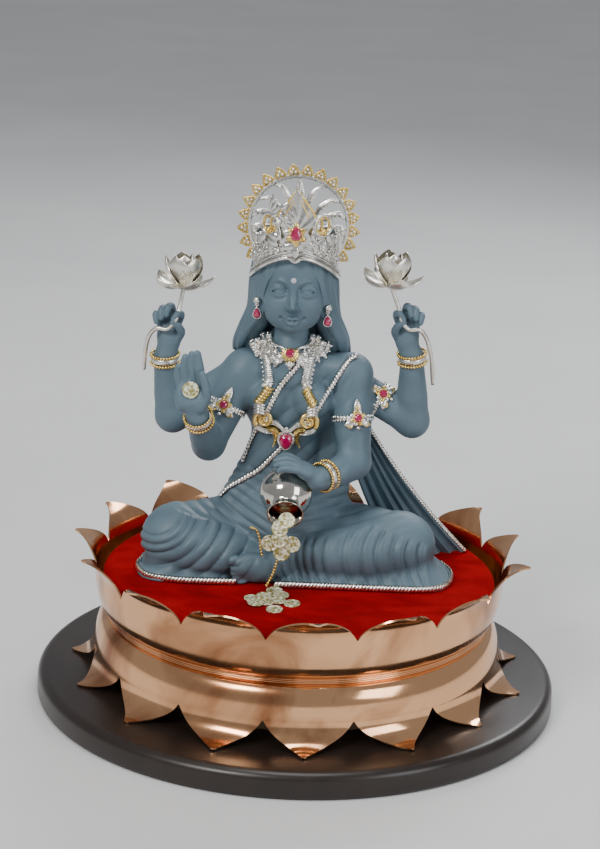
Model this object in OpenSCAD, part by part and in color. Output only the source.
// Seated four-armed goddess statuette on a copper lotus with a velvet seat and a round wooden plinth.
// Millimetres. +Z is up, the figure faces -Y, and the origin is the centre of the plinth's underside.
// "Right" and "left" are the figure's own, so its right hand is on the -X side.

/* [Plinth] */
// Diameter of the wooden plinth
plinth_d = 400; // [380:1:440]
// Height of the wooden plinth
plinth_h = 20; // [18:0.5:22]
// Rounding of the plinth's upper edge
plinth_edge_r = 7; // [4:0.5:10]

/* [Copper lotus] */
// Number of petals in each ring
petal_count = 15; // [9:1:21]
// Turn of the petals about the vertical axis, from the front
petal_turn = 4; // [-12:1:12]
// Radius of the lotus where the petals begin
lotus_r = 156.5; // [155:0.5:160]
// Radius of the narrow waist
waist_r = 146; // [142:0.5:148]
// Reach of the upper petals beyond the lotus radius
upper_flare = 18.5; // [14:0.5:21]
// Reach of the lower petals beyond the lotus radius
lower_flare = 17.5; // [14:0.5:18]
// Thickness of the copper sheet
sheet_t = 1.2; // [0.8:0.1:1.6]

/* [Seat] */
// Radius of the velvet seat
seat_r = 150; // [146:0.5:152]
// Height of the velvet's surface above the table
seat_top = 98; // [97:0.5:99]
// Thickness of the velvet and its padding
velvet_t = 3; // [2:0.5:4]

/* [Figure] */
// Diameter of the coins
coin_d = 12.4; // [11:0.1:13]
// Diameter of the gilt beads
bead_d = 2.2; // [1.8:0.1:2.4]
// Radius of the halo's ring
halo_r = 36; // [35.5:0.1:37]
// Diameter of the pot's belly
pot_d = 40; // [36:0.5:41]
// Diameter of the held lotus flowers
flower_d = 42; // [36:0.5:44]

/* [Hidden] */

$fn = 96;
soft_fn = 16;       // facets of the figure's rounded forms
gap = 0.25;         // clearance between pieces that only lie side by side

// Heights of the base, from the plinth up
waist_z = 65;
floor_z = 69;
notch_up_z = 101.5;
notch_down_z = 39.5;
board_t = 10;
board_z = seat_top - velvet_t - board_t;
bolt_r = 4;
pitch = 360 / petal_count;

// Colours
wood_dark = [0.13, 0.08, 0.06];
wood_pale = [0.62, 0.45, 0.28];
copper = [0.80, 0.47, 0.30];
velvet_red = [0.55, 0.02, 0.02];
slate = [0.30, 0.38, 0.43];
silver = [0.80, 0.80, 0.77];
gilt = [0.80, 0.62, 0.25];
ruby = [0.70, 0.03, 0.20];
steel = [0.55, 0.56, 0.58];

// Heights of the figure count from the seat
function at(x, y, z) = [x, y, z + seat_top];
function mix(a, b, t) = a * (1 - t) + b * t;

fr_shoulder = at(-47, 5, 156);
fr_elbow = at(-73, -13, 101);
fr_wrist = at(-78, -48, 131);
fr_palm = at(-84, -53, 150);
fr_tip = at(-83, -50, 175);
fl_shoulder = at(33, 5, 156);
fl_elbow = at(38, -14, 91);
fl_wrist = at(10, -44, 88);
fl_palm = at(-3, -43, 94);
fl_tip = at(-21, -36, 97);
rr_shoulder = at(-38, 18, 150);
rr_elbow = at(-102, 12, 115);
rr_wrist = at(-107, 3, 163);
rr_fist = at(-104, 1, 188);
rl_shoulder = at(26, 18, 150);
rl_elbow = at(81, 13, 119);
rl_wrist = at(78, 3, 171);
rl_fist = at(73, 1, 195);

// The pot's axis runs forwards and down, out of its mouth
pot_centre = at(-12, -36, 73);
pot_tilt = 25;
pot_r = pot_d / 2;
mouth_r = pot_r * 0.66;

// Crown, halo and earrings
crown_x = -12;
crown_y = -1;
crown_z = seat_top + 230;
crown_r = 33;
halo_centre = [-10.8, 11, seat_top + 266.8];
ear_right = at(-39, -10, 213.5);
ear_left = at(13.5, -10, 209.5);

// Held flowers
flower_right = at(-94, -3, 219);
flower_left = at(59.5, -3, 226);

// ---------- shared shapes ----------
module ball(p, r) translate(p) sphere(r = r, $fn = soft_fn);

module limb(a, ra, b, rb) hull() {
    ball(a, ra);
    ball(b, rb);
}

// A chain of short round rods through a list of points
module rope(path, r) for (i = [0 : len(path) - 2])
    hull() {
        translate(path[i]) sphere(r = r, $fn = 10);
        translate(path[i + 1]) sphere(r = r, $fn = 10);
    }

// Turns +Z towards v
module aim(v) rotate([0, acos(v[2] / norm(v)), atan2(v[1], v[0])]) children();

module band(p, v, inner, wall, height) translate(p) aim(v) rotate_extrude()
    translate([inner, -height / 2]) square([wall, height]);

module bead_ring(p, v, r, d) translate(p) aim(v) rotate_extrude()
    translate([r, 0]) circle(d = d, $fn = 24);

// Pear-shaped plate standing in the XZ plane, its point up
module pear(w, h, t) rotate([90, 0, 0]) linear_extrude(t, center = true) union() {
    circle(d = w, $fn = 32);
    polygon([[-w * 0.46, w * 0.15], [0, h - w / 2], [w * 0.46, w * 0.15], [0, -w * 0.2]]);
}

// ---------- plinth and wooden cores ----------
module wood_plinth() color(wood_dark) difference() {
    rotate_extrude() union() {
        square([plinth_d / 2 - plinth_edge_r, plinth_h]);
        square([plinth_d / 2 - 2, plinth_h - plinth_edge_r]);
        translate([0, 2]) square([plinth_d / 2, plinth_h - plinth_edge_r - 2]);
        translate([plinth_d / 2 - 2, 2]) circle(2, $fn = 24);
        translate([plinth_d / 2 - plinth_edge_r, plinth_h - plinth_edge_r]) circle(plinth_edge_r);
    }
    translate([0, 0, -1]) cylinder(r = bolt_r + gap, h = plinth_h + 2);
    translate([0, 0, -1]) cylinder(r = 11, h = 9);
}

module core(r, z, h) color(wood_pale) difference() {
    translate([0, 0, z]) cylinder(r = r, h = h);
    translate([0, 0, z - 1]) cylinder(r = bolt_r + gap, h = h + 2);
}

module lower_core() core(128, plinth_h, waist_z - sheet_t - plinth_h);

module upper_core() core(120, floor_z + sheet_t, board_z - floor_z - sheet_t);

// ---------- copper lotus ----------
// Section of one tier from the bolt hole (row 0) over the waist (row 1) up the swelling wall to where the
// petals part, then out along the quarter round of a petal to its tip
wall_rows = 4;
petal_rows = 5;
petal_cols = 4;
rings = wall_rows + 2;
ring_size = petal_count * petal_cols;
sheet_size = rings * ring_size + petal_rows * petal_count * (petal_cols + 1);

function tier_edge(i, rise, reach, inset) =
    i == 0 ? [bolt_r + gap, inset] :
    i == 1 ? [waist_r - inset, inset] :
    i < rings ? let (t = (i - 1) / wall_rows)
        [waist_r + (lotus_r - waist_r) * sin(90 * t) - inset, rise * (1 - cos(90 * t))] :
    let (s = (i - rings + 1) / petal_rows)
        [lotus_r + reach - (reach + inset) * cos(90 * s), rise + (reach + inset) * sin(90 * s)];

// Width of a petal as a share of the pitch: full at the foot, hollowing into a narrow point
function petal_share(s) = 0.03 + 0.97 * (pow(1 - s, 0.95) + 0.06 * sin(360 * s));
function polar(e, a) = [e[0] * cos(a - 90), e[0] * sin(a - 90), e[1]];

function ring_spot(i, c, side) = side * sheet_size + i * ring_size + (c % ring_size);
function petal_spot(p, k, j, side) = p == 0 ? ring_spot(rings - 1, k * petal_cols + j, side) :
    side * sheet_size + rings * ring_size + ((p - 1) * petal_count + k) * (petal_cols + 1) + j;
function strip(a, b, c, d) = [[a, b, c], [a, c, d]];

function tier_points(rise, reach) = [for (side = [0, 1]) each concat(
    [for (i = [0 : rings - 1], c = [0 : ring_size - 1])
        polar(tier_edge(i, rise, reach, side * sheet_t), petal_turn + (c / petal_cols - 0.5) * pitch)],
    [for (p = [1 : petal_rows], k = [0 : petal_count - 1], j = [0 : petal_cols])
        polar(tier_edge(rings - 1 + p, rise, reach, side * sheet_t),
            petal_turn + (k + (j / petal_cols - 0.5) * petal_share(p / petal_rows)) * pitch)])];

tier_faces = concat(
    [for (i = [0 : rings - 2], c = [0 : ring_size - 1])
        each strip(ring_spot(i, c, 0), ring_spot(i + 1, c, 0),
            ring_spot(i + 1, c + 1, 0), ring_spot(i, c + 1, 0))],
    [for (i = [0 : rings - 2], c = [0 : ring_size - 1])
        each strip(ring_spot(i, c, 1), ring_spot(i, c + 1, 1),
            ring_spot(i + 1, c + 1, 1), ring_spot(i + 1, c, 1))],
    [for (c = [0 : ring_size - 1])
        each strip(ring_spot(0, c, 0), ring_spot(0, c + 1, 0), ring_spot(0, c + 1, 1), ring_spot(0, c, 1))],
    [for (p = [0 : petal_rows - 1], k = [0 : petal_count - 1], j = [0 : petal_cols - 1])
        each strip(petal_spot(p, k, j, 0), petal_spot(p + 1, k, j, 0),
            petal_spot(p + 1, k, j + 1, 0), petal_spot(p, k, j + 1, 0))],
    [for (p = [0 : petal_rows - 1], k = [0 : petal_count - 1], j = [0 : petal_cols - 1])
        each strip(petal_spot(p, k, j, 1), petal_spot(p, k, j + 1, 1),
            petal_spot(p + 1, k, j + 1, 1), petal_spot(p + 1, k, j, 1))],
    [for (p = [0 : petal_rows - 1], k = [0 : petal_count - 1])
        each strip(petal_spot(p, k, 0, 0), petal_spot(p, k, 0, 1),
            petal_spot(p + 1, k, 0, 1), petal_spot(p + 1, k, 0, 0))],
    [for (p = [0 : petal_rows - 1], k = [0 : petal_count - 1])
        each strip(petal_spot(p, k, petal_cols, 0), petal_spot(p + 1, k, petal_cols, 0),
            petal_spot(p + 1, k, petal_cols, 1), petal_spot(p, k, petal_cols, 1))],
    [for (k = [0 : petal_count - 1], j = [0 : petal_cols - 1])
        each strip(petal_spot(petal_rows, k, j, 0), petal_spot(petal_rows, k, j, 1),
            petal_spot(petal_rows, k, j + 1, 1), petal_spot(petal_rows, k, j + 1, 0))]);

// The skirt hangs from the waist and the bowl rises from it
module lotus_skirt() color(copper) translate([0, 0, waist_z]) mirror([0, 0, 1])
    polyhedron(points = tier_points(waist_z - notch_down_z, lower_flare), faces = tier_faces);

module lotus_bowl() color(copper) translate([0, 0, floor_z])
    polyhedron(points = tier_points(notch_up_z - floor_z, upper_flare), faces = tier_faces);

// Three thin rings stacked in the waist
module waist_collar() color(copper) rotate_extrude() union() {
    translate([waist_r - 12, waist_z]) square([12, floor_z - waist_z]);
    for (i = [0 : 2])
        translate([waist_r, waist_z + (i + 0.5) * (floor_z - waist_z) / 3])
            circle(d = (floor_z - waist_z) / 3, $fn = 24);
}

// ---------- seat ----------
screw_places = [[-58, 8], [34, 8], [-58, 34], [34, 34]];

module seat_board() color(wood_pale) difference() {
    translate([0, 0, board_z]) cylinder(r = seat_r - 1.5, h = board_t);
    translate([0, 0, board_z - 1]) cylinder(r = bolt_r + gap, h = board_t + 2);
    translate([0, 0, board_z + board_t - 6]) cylinder(r = 9, h = 7);
    for (p = screw_places) translate([p[0], p[1], board_z - 1]) cylinder(r = 2.2, h = board_t + 2);
    for (p = screw_places) translate([p[0], p[1], board_z - 1]) cylinder(r = 4.5, h = 4);
}

module velvet_cover() color(velvet_red) difference() {
    translate([0, 0, seat_top - velvet_t]) cylinder(r = seat_r, h = velvet_t);
    for (p = screw_places)
        translate([p[0], p[1], seat_top - velvet_t - 1]) cylinder(r = 2.2, h = velvet_t + 2);
}

module tie_bolt() color(steel) union() {
    translate([0, 0, 2]) cylinder(d = 13, h = 5.5, $fn = 6);
    translate([0, 0, 2]) cylinder(r = bolt_r, h = board_z + board_t - 3);
    difference() {
        translate([0, 0, 7.5]) cylinder(r = 9.5, h = 0.5);
        translate([0, 0, 7]) cylinder(r = bolt_r - 1, h = 2);
    }
}

module tie_nut() color(steel) difference() {
    translate([0, 0, board_z + board_t - 6]) cylinder(d = 13, h = 4.5, $fn = 6);
    translate([0, 0, board_z + board_t - 7]) cylinder(r = bolt_r + 0.05, h = 7);
}

module seat_screws() color(steel) for (p = screw_places) translate([p[0], p[1], board_z]) union() {
    translate([0, 0, 0.2]) cylinder(r = 4, h = 2.6);
    cylinder(r = 2, h = board_t + velvet_t + 16);
}

// ---------- figure ----------
module front_right_form(g) {
    limb(fr_shoulder, 15 + g, fr_elbow, 13 + g);
    limb(fr_elbow, 13 + g, fr_wrist, 8.5 + g);
    hull() {
        ball(fr_wrist, 8 + g);
        ball(fr_palm + [-6, 0, 0], 6 + g);
        ball(fr_palm + [6, 2, 0], 6 + g);
    }
    hull() {
        ball(fr_palm + [-6, 0, 0], 6 + g);
        ball(fr_palm + [6, 2, 0], 6 + g);
        ball(fr_tip + [-4, 0, 0], 4 + g);
        ball(fr_tip + [5, 0, 2], 4 + g);
    }
}

module front_left_form(g) {
    limb(fl_shoulder, 15 + g, fl_elbow, 13 + g);
    limb(fl_elbow, 12.5 + g, fl_wrist, 8.5 + g);
    limb(fl_wrist, 8.5 + g, fl_palm, 8 + g);
    limb(fl_palm, 8 + g, fl_tip, 5 + g);
}

module rear_right_form(g) {
    limb(rr_shoulder, 13 + g, rr_elbow, 12.5 + g);
    limb(rr_elbow, 12.5 + g, rr_wrist, 9 + g);
    limb(rr_wrist, 8.5 + g, rr_fist, 9.5 + g);
    limb(rr_fist, 9.5 + g, rr_fist + [2, 0, 9], 6 + g);
}

module rear_left_form(g) {
    limb(rl_shoulder, 13 + g, rl_elbow, 12.5 + g);
    limb(rl_elbow, 12.5 + g, rl_wrist, 9 + g);
    limb(rl_wrist, 8.5 + g, rl_fist, 9.5 + g);
    limb(rl_fist, 9.5 + g, rl_fist + [-2, 0, 9], 6 + g);
}

module head_form(g) {
    limb(at(-12, 3, 236), 29 + g, at(-12.5, -3, 216), 24 + g);
    limb(at(-12.5, -3, 216), 24 + g, at(-13, -13, 207), 15 + g);
    limb(at(-12, 12, 228), 28 + g, at(-12, 26, 168), 22 + g);
    limb(at(-34, 8, 224), 11 + g, at(-35, 8, 203), 10.5 + g);
    limb(at(-35, 8, 203), 10.5 + g, at(-43, 10, 179), 10.5 + g);
    limb(at(10, 8, 224), 11 + g, at(12, 8, 203), 10.5 + g);
    limb(at(12, 8, 203), 10.5 + g, at(17, 10, 179), 10.5 + g);
    limb(at(-13, 8, 210), 13 + g, at(-13, 6, 177), 13 + g);
}

module pot_form(g) translate(pot_centre) rotate([90 + pot_tilt, 0, 0]) union() {
    sphere(r = pot_r + g, $fn = 48);
    cylinder(r = mouth_r + g, h = pot_r + 4 + g);
}

// Torso, thighs, shins and foot as one casting, cut for the arms, the head and the pot
module figure_body() color(slate) difference() {
    union() {
        limb(at(-13, 22, 42), 36, at(-12, 15, 100), 25);
        hull() {
            ball(at(-12, 15, 100), 25);
            ball(at(-27, 12, 136), 22);
            ball(at(3, 12, 136), 22);
        }
        limb(at(-42, 8, 157), 12, at(19, 8, 157), 12);
        limb(at(-13, 6, 146), 22, at(-13, 3, 165), 17);
        limb(at(-13, 3, 165), 16, at(-13, 6, 180), 12);
        limb(at(-28, -4, 137), 13, at(-28, 6, 130), 16);
        limb(at(5, -4, 137), 13, at(5, 6, 130), 16);
        limb(at(-40, 20, 34), 33, at(-93, -8, 26), 27);
        limb(at(20, 20, 34), 33, at(73, -6, 26), 26);
        limb(at(-96, -14, 14), 20, at(-22, -24, 12), 13);
        limb(at(86, -14, 14), 22, at(-6, -20, 18), 16);
        limb(at(-13, -2, 38), 26, at(-13, -16, 18), 20);
        limb(at(-16, -27, 8), 7, at(-42, -33, 5), 4.5);
    }
    translate([-200, -200, seat_top - 100]) cube([400, 400, 100]);
    front_right_form(gap);
    front_left_form(gap);
    rear_right_form(gap);
    rear_left_form(gap);
    head_form(gap);
    pot_form(gap);
}

module head_and_hair() color(slate) difference() {
    head_form(0);
    rear_right_form(gap);
    rear_left_form(gap);
    front_right_form(gap);
    front_left_form(gap);
}

module front_right_arm() color(slate) front_right_form(0);

module front_left_arm() color(slate) difference() {
    front_left_form(0);
    pot_form(gap);
}

module rear_right_arm() color(slate) difference() {
    rear_right_form(0);
    front_right_form(gap);
}

module rear_left_arm() color(slate) difference() {
    rear_left_form(0);
    front_left_form(gap);
}

// The shawl's loose end, from behind the left shoulder down to the seat
module shawl_tail() color(slate) difference() {
    hull() {
        ball(at(40, 30, 140), 4);
        ball(at(52, 18, 100), 4);
        ball(at(126, 52, 4.2), 4);
        ball(at(84, 42, 4.2), 4);
    }
    rear_left_form(gap);
    front_left_form(gap);
    limb(at(20, 20, 34), 33 + gap, at(73, -6, 26), 26 + gap);
    limb(at(-13, 22, 42), 36 + gap, at(-12, 15, 100), 25 + gap);
    limb(at(86, -14, 14), 22 + gap, at(-6, -20, 18), 16 + gap);
    translate([-200, -200, seat_top - 100]) cube([400, 400, 100]);
}

// Pins that locate each separately cast arm in the body
module pin(p, v, l) translate(p) aim(v) cylinder(r = 2.5, h = l, center = true);

module arm_dowels() color(steel) union() {
    pin(fr_shoulder + [9, 1, -3], [1, 0, 0.1], 22);
    pin(fl_shoulder + [-9, 1, -3], [-1, 0, 0.1], 22);
    pin(rr_shoulder + [5, 1, -8], [1, 0, 0.5], 24);
    pin(rl_shoulder + [-5, 1, -8], [-1, 0, 0.5], 24);
}

// ---------- crown and halo ----------
module crown() color(silver) difference() {
    union() {
        translate([crown_x, crown_y, crown_z]) rotate_extrude() polygon([[crown_r - 1.6, 0], [crown_r, 0],
            [crown_r - 1, 8], [crown_r - 2.5, 24], [crown_r - 2, 36], [crown_r - 3.6, 36],
            [crown_r - 4.1, 24], [crown_r - 2.6, 8]]);
        translate([crown_x, crown_y - crown_r + 2.5, crown_z + 41]) rotate([90, 0, 0])
            linear_extrude(2.4, center = true)
                polygon([[-19, -10], [-20, 3], [-12, 8], [-10, 14], [-3, 22], [0, 28],
                    [3, 22], [10, 14], [12, 8], [20, 3], [19, -10]]);
    }
    // arched front rim
    translate([crown_x, crown_y - 60, crown_z - 17]) rotate([-90, 0, 0]) cylinder(r = 36, h = 55);
}

module crown_bezel() color(gilt)
    translate([crown_x, crown_y - crown_r - 0.2, crown_z + 38]) pear(11, 15, 3);

module crown_gem() color(ruby)
    translate([crown_x, crown_y - crown_r - 2.4, crown_z + 37.4]) pear(7.7, 10, 1.4);

// The ring stops where its two ends run into the sides of the crown
module halo_ring() color(silver) translate(halo_centre) difference() {
    rotate([90, 0, 0]) rotate_extrude() translate([halo_r - 1.2, -1.5]) square([2.4, 3]);
    translate([-50, -10, -72]) cube([100, 20, 50]);
}

// Leaf-shaped flames that carry the ring from the crown
module halo_flames() color(silver)
    translate(halo_centre) rotate([90, 0, 0]) linear_extrude(1.6, center = true) union() {
    for (a = [-80 : 20 : 80]) rotate([0, 0, a])
        polygon([[-2.2, 14], [2.2, 14], [3.6, 25],
            [1.1, halo_r - 0.9], [-1.1, halo_r - 0.9], [-3.6, 25]]);
    intersection() {
        circle(16);
        translate([-30, -2.5]) square([60, 30]);
    }
    translate([-28.5, -2.5]) square([55.9, 4]);
}

module halo_buds() color(gilt) translate(halo_centre) for (i = [-8.5 : 1 : 8.5]) rotate([0, i * 14.6, 0])
    translate([0, 0, halo_r + 0.9]) cylinder(r1 = 3.9, r2 = 0.8, h = 7.6, $fn = 32);

module forehead_gem() color(silver) translate(at(-12.5, -26.8, 233)) sphere(r = 1.9, $fn = 32);

// ---------- earrings ----------
// A turned ball on a post, with a fork below it that carries a pin; the drop's eye turns on the pin
module stud(p) translate(p) union() {
    rotate([90, 0, 0]) rotate_extrude($fn = 32)
        polygon([[0, -2.9], [1.5, -2.5], [2.6, -1.3], [2.9, 0], [2.6, 1.3], [1.5, 2.5], [0, 2.9]]);
    translate([0, 2, 0]) rotate([-90, 0, 0]) cylinder(r = 0.8, h = 6, $fn = 32);
    difference() {
        translate([-1.4, -0.7, -4.6]) cube([2.8, 1.4, 2.6]);
        translate([-0.9, -1, -5]) cube([1.8, 2, 2]);
    }
    translate([-1.6, 0, -4]) rotate([0, 90, 0]) cylinder(r = 0.35, h = 3.2, $fn = 32);
}

module earring_studs() color(silver) union() {
    stud(ear_right);
    stud(ear_left);
}

module drop(p) translate(p + [0, 0, -4]) difference() {
    union() {
        rotate([0, 90, 0]) cylinder(r = 0.8, h = 1.4, center = true, $fn = 32);
        translate([-0.5, -0.4, -2.4]) cube([1, 0.8, 2]);
        translate([0, 0, -7]) pear(6.4, 8.6, 1.8);
    }
    rotate([0, 90, 0]) cylinder(r = 0.42, h = 4, center = true, $fn = 32);
}

module drop_gem(p) translate(p + [0, -1.5, -11.2]) pear(4.6, 6.4, 1.2);

module earring_right_drop() color(silver) drop(ear_right);

module earring_right_gem() color(ruby) drop_gem(ear_right);

module earring_left_drop() color(silver) drop(ear_left);

module earring_left_gem() color(ruby) drop_gem(ear_left);

// ---------- necklaces ----------
module choker() color(silver) difference() {
    translate(at(-13, 2, 176)) rotate([24, 0, 0]) cylinder(r1 = 24, r2 = 16.5, h = 9, center = true);
    translate(at(-13, 2, 176)) rotate([24, 0, 0]) cylinder(r1 = 21, r2 = 13.5, h = 9.2, center = true);
    translate(at(-60, 8, 150)) cube([94, 60, 60]);
}

module choker_pendant() color(gilt)
    translate(at(-13, -17.6, 174)) rotate([-24, 0, 0]) rotate([0, 180, 0]) pear(13, 15, 2.6);

module choker_gem() color(ruby) translate(at(-13, -19.4, 175.4)) rotate([-24, 0, 0])
    rotate([90, 0, 0]) cylinder(d = 6, h = 1.8, center = true, $fn = 32);

module necklace_strands() color(silver) for (s = [-1, 1])
    rope([at(-14.2 + s * 18.4, -8, 174), at(-14.6 + s * 14.4, -16.5, 162),
        at(-14.6 + s * 13.6, -19, 150), at(-14.4 + s * 19.5, -18.5, 138)], 3);

module necklace_scrolls() color(gilt) for (s = [-1, 1]) union() {
    bead_ring(at(-14.4 + s * 16.4, -18.5, 124), [0, 1, 0], 4.5, 4);
    rope([at(-14.4 + s * 13, -17.5, 118), at(-14.4 + s * 8.6, -17.5, 102)], 2.4);
}

module necklace_bezel() color(silver)
    translate(at(-14, -15.5, 107)) rotate([0, 180, 0]) pear(13, 15, 3);

module necklace_gem() color(ruby)
    translate(at(-14, -17.7, 107)) rotate([0, 180, 0]) pear(10, 11.7, 1.8);

// ---------- sari and shawl edging ----------
module sari_borders() color(silver) union() {
    rope([at(0, -11, 174), at(-10, -14, 164), at(-20, -16, 149),
        at(-27, -15, 134), at(-37, -7, 111), at(-46, 2, 84)], 1.7);
    rope([at(35, -8, 169), at(19, -14, 149), at(8, -14, 133), at(-12, -11, 104),
        at(-33, -9, 81), at(-46, -8, 72), at(-57, -6, 65)], 1.7);
}

module hem_border() color(silver)
    rope([at(-121, -16, 2.4), at(-117, -31, 2.4), at(-90, -38, 2.4), at(-58, -38, 2.4),
        at(-30, -39.5, 2.4), at(0, -40, 2.4), at(38, -40, 2.4), at(80, -40, 2.4),
        at(108, -26, 2.4), at(112, -6, 2.4)], 2.2);

module shawl_border() color(silver) rope([at(53, 14.5, 101), at(128, 49.5, 6)], 1.4);

// ---------- armlets and bangles ----------
module armlet(a, b, t, r, face) {
    p = mix(a, b, t);
    union() {
        band(p, b - a, r, 1.6, 5);
        translate(p) rotate([0, 0, atan2(face[1], face[0]) + 90])
            translate([0, -r - 1.6, 2]) rotate([90, 0, 0]) union() {
            cylinder(r = 5.6, h = 2.6, center = true, $fn = 48);
            linear_extrude(1.8, center = true) polygon([[-3, 3], [0, 14], [3, 3]]);
        }
    }
}

module armlet_gem(a, b, t, r, face) translate(mix(a, b, t)) rotate([0, 0, atan2(face[1], face[0]) + 90])
    translate([0, -r - 3.4, 2]) rotate([90, 0, 0]) cylinder(d = 6.2, h = 1.6, center = true, $fn = 32);

fr_face = [-0.3, -1];
fl_face = [0.25, -1];
rr_face = [-0.2, 1];
rl_face = [0.6, -1];

module armlet_front_right() color(silver) armlet(fr_shoulder, fr_elbow, 0.5, 13.6, fr_face);

module armlet_front_left() color(silver) armlet(fl_shoulder, fl_elbow, 0.5, 13.8, fl_face);

module armlet_rear_right() color(silver) armlet(rr_shoulder, rr_elbow, 0.66, 12.3, rr_face);

module armlet_rear_left() color(silver) armlet(rl_shoulder, rl_elbow, 0.52, 12.3, rl_face);

module armlet_gems() color(ruby) union() {
    armlet_gem(fr_shoulder, fr_elbow, 0.5, 13.6, fr_face);
    armlet_gem(fl_shoulder, fl_elbow, 0.5, 13.8, fl_face);
    armlet_gem(rr_shoulder, rr_elbow, 0.66, 12.3, rr_face);
    armlet_gem(rl_shoulder, rl_elbow, 0.52, 12.3, rl_face);
}

// Two rows of gilt beads with a silver band between them
module bangle(p, v, r) union() {
    u = v / norm(v);
    bead_ring(p - u * 3.4, v, r + 1, bead_d);
    bead_ring(p + u * 3.4, v, r + 1, bead_d);
    band(p, v, r - 0.1, 1.5, 4.4);
}

module bangle_front_right() color(gilt) bangle(fr_wrist, fr_palm - fr_elbow, 9);

module bangle_front_left() color(gilt) bangle(mix(fl_wrist, fl_elbow, 0.2), fl_wrist - fl_elbow, 9.6);

module bangle_rear_right() color(gilt) bangle(rr_wrist, rr_fist - rr_elbow, 9.4);

module bangle_rear_left() color(gilt) bangle(rl_wrist, rl_fist - rl_elbow, 9.4);

// Gilt bead chain that falls over the ankle
anklet_path = [at(-36, -32, 41), at(-31, -39, 37), at(-28, -42, 25), at(-20, -41, 17),
    at(-20, -43, 10), at(-23, -43, 2)];

module anklet_chain() color(gilt) rope(anklet_path, bead_d / 2);

// ---------- pot and coins ----------
module pot() color(silver) translate(pot_centre) rotate([90 + pot_tilt, 0, 0]) difference() {
    union() {
        sphere(r = pot_r);
        translate([0, 0, pot_r * 0.8]) cylinder(r1 = mouth_r * 0.86, r2 = mouth_r, h = 6);
        translate([0, 0, pot_r * 0.8 + 6]) cylinder(r = mouth_r, h = 1.4);
    }
    sphere(r = pot_r - 1.6);
    cylinder(r = mouth_r * 0.86 - 1.6, h = pot_r + 8);
}

module coin(p, tilt, turn) translate(p) rotate([tilt, 0, turn])
    cylinder(d = coin_d, h = 0.9, center = true, $fn = 40);

// The stream of coins hangs from the lower lip of the pot
module pot_coins() color(gilt) union() {
    coin(at(-11, -59.2, 58.4), 65, 0);
    coin(at(-15, -60, 52.4), 84, 3);
    coin(at(-15, -59.8, 45), 88, -4);
    coin(at(-22, -60.4, 41.4), 86, 6);
    coin(at(-7, -60.5, 41.4), 87, -6);
    coin(at(-14, -60.4, 35), 88, 0);
}

// Each spilled coin: x, y and whether it lies on its neighbours
coin_spots = [[-18, -50, 0], [-13, -61, 1], [-34, -68, 0], [-25, -65, 1], [-31, -79, 1],
    [-24, -75, 0], [-15, -73, 1], [-4.5, -75.5, 0], [-17, -88.5, 0]];

module seat_coins() color(gilt) for (spot = coin_spots)
    translate([spot[0], spot[1], seat_top + 0.02 + 0.95 * spot[2]]) cylinder(d = coin_d, h = 0.95, $fn = 40);

module palm_coin() color(gilt) coin(fr_palm + [0, -6.2, 3], 86, 0);

// ---------- held lotuses ----------
module flower(p) translate(p) union() {
    cylinder(r1 = 3, r2 = 7, h = 5);
    for (a = [0 : 60 : 300]) rotate([0, 0, a]) {
        translate([6, 0, 3]) rotate([0, 62, 0]) hull() {
            translate([0, 0, 0]) sphere(r = 2, $fn = 12);
            translate([0, 5, 9]) sphere(r = 0.8, $fn = 12);
            translate([0, -5, 9]) sphere(r = 0.8, $fn = 12);
            translate([-2, 0, flower_d / 2 - 4]) sphere(r = 0.7, $fn = 12);
        }
    }
    for (a = [30 : 60 : 330]) rotate([0, 0, a]) {
        translate([4, 0, 3]) rotate([0, 14, 0]) hull() {
            translate([0, 0, 0]) sphere(r = 2, $fn = 12);
            translate([3, 5, 11]) sphere(r = 0.8, $fn = 12);
            translate([3, -5, 11]) sphere(r = 0.8, $fn = 12);
            translate([0, 0, 23.5]) sphere(r = 0.7, $fn = 12);
        }
    }
}

module lotus_right_flower() color(silver) flower(flower_right);

module lotus_left_flower() color(silver) flower(flower_left);

module lotus_right_stem() color(silver)
    rope([flower_right + [0, 0, 0.5], rr_fist + [7, -9, 12], rr_fist + [2, -10.6, 2],
        rr_fist + [-12, -8, -2], rr_fist + [-17, -4, -16], rr_fist + [-19, 1, -35]], 1.5);

module lotus_left_stem() color(silver)
    rope([flower_left + [0, 0, 0.5], rl_fist + [-7, -9, 12], rl_fist + [-2, -10.6, 2],
        rl_fist + [12, -8, -3], rl_fist + [17.8, -4, -18], rl_fist + [22, 1, -44]], 1.5);

wood_plinth();
lower_core();
lotus_skirt();
waist_collar();
lotus_bowl();
upper_core();
seat_board();
velvet_cover();
tie_bolt();
tie_nut();
seat_screws();
figure_body();
head_and_hair();
front_right_arm();
front_left_arm();
rear_right_arm();
rear_left_arm();
shawl_tail();
arm_dowels();
crown();
crown_bezel();
crown_gem();
halo_ring();
halo_flames();
halo_buds();
forehead_gem();
earring_studs();
earring_right_drop();
earring_right_gem();
earring_left_drop();
earring_left_gem();
choker();
choker_pendant();
choker_gem();
necklace_strands();
necklace_scrolls();
necklace_bezel();
necklace_gem();
sari_borders();
hem_border();
shawl_border();
armlet_front_right();
armlet_front_left();
armlet_rear_right();
armlet_rear_left();
armlet_gems();
bangle_front_right();
bangle_front_left();
bangle_rear_right();
bangle_rear_left();
anklet_chain();
pot();
pot_coins();
seat_coins();
palm_coin();
lotus_right_flower();
lotus_right_stem();
lotus_left_flower();
lotus_left_stem();
